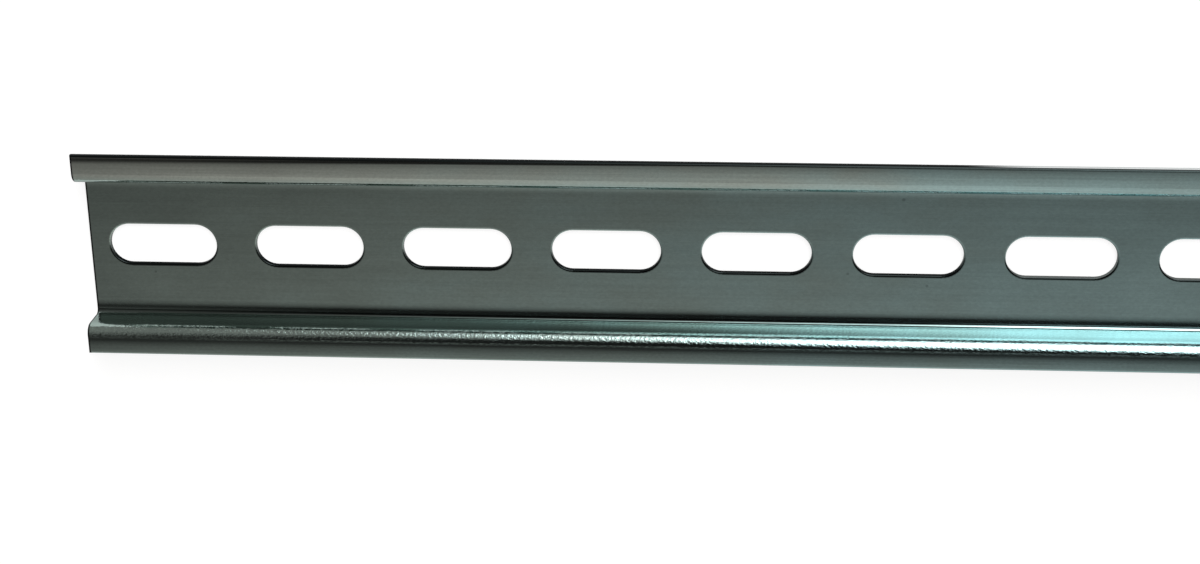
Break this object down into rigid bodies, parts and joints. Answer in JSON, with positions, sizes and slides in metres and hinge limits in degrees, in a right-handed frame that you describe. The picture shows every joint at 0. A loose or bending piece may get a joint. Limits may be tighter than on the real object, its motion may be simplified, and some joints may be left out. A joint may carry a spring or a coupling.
{
  "type": "din rail",
  "caption": "Slotted top-hat mounting rail: a shallow steel channel with out-turned flanges and a row of long slots along its web.",
  "frame": {"origin": "middle of the mounting face: the flat back of the web, at the middle of the rail's length and width", "axes": "+X along the rail, +Y across it, +Z out of the mounting face towards the front of the flanges"},
  "size_m": [0.3, 0.035, 0.0075],
  "materials": {
    "zinc_plated_steel": "rolled steel strip, bright zinc plated, slightly stained"
  },
  "bodies": {
    "root": {"rail": "zinc_plated_steel"}
  },
  "joints": []
}
